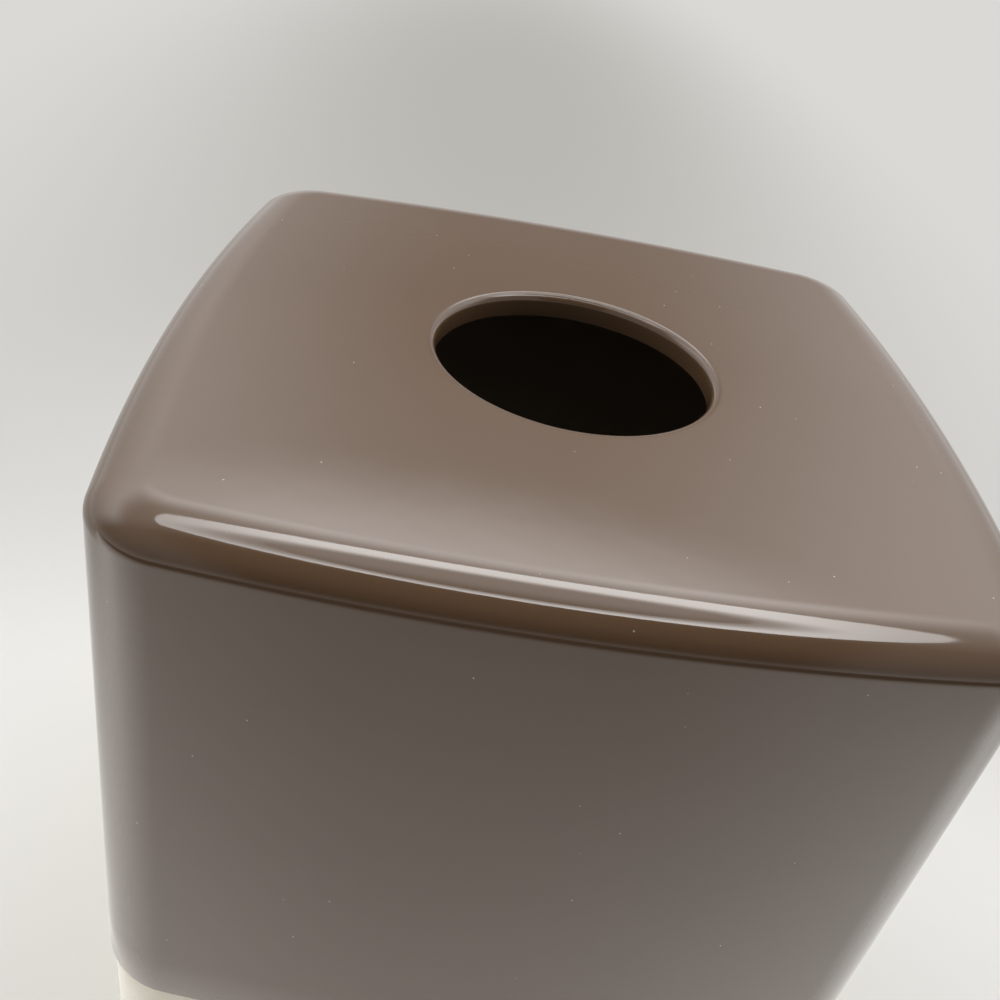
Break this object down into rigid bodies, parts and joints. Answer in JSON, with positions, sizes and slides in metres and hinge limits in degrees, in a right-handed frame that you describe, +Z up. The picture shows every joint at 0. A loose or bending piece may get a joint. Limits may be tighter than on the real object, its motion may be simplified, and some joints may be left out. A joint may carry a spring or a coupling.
{
  "type": "tissue box cover",
  "caption": "Upright square tissue box cover: a glossy shell with bowed sides and a round hole in its flat top, which lifts off a shallow tray on rubber feet to change the carton.",
  "frame": {"origin": "on the floor, under the middle of the tray", "axes": "+Z up, along the way the shell lifts off; -Y towards the front, the side that faces the viewer; +X to the viewer's right"},
  "size_m": [0.133, 0.133, 0.145],
  "materials": {
    "shell_plastic": "high-gloss chocolate brown moulded plastic",
    "tray_plastic": "glossy cream moulded plastic",
    "foot_rubber": "matt dark brown rubber"
  },
  "bodies": {
    "tray": {"base_tray": "tray_plastic", "foot_front_left": "foot_rubber", "foot_front_right": "foot_rubber", "foot_rear_left": "foot_rubber", "foot_rear_right": "foot_rubber"},
    "cover": {"cover_shell": "shell_plastic"}
  },
  "joints": [
    {"name": "cover_lift", "type": "slide", "parent": "tray", "child": "cover", "axis": [0, 0, 1], "range_m": [0, 0.1]}
  ]
}
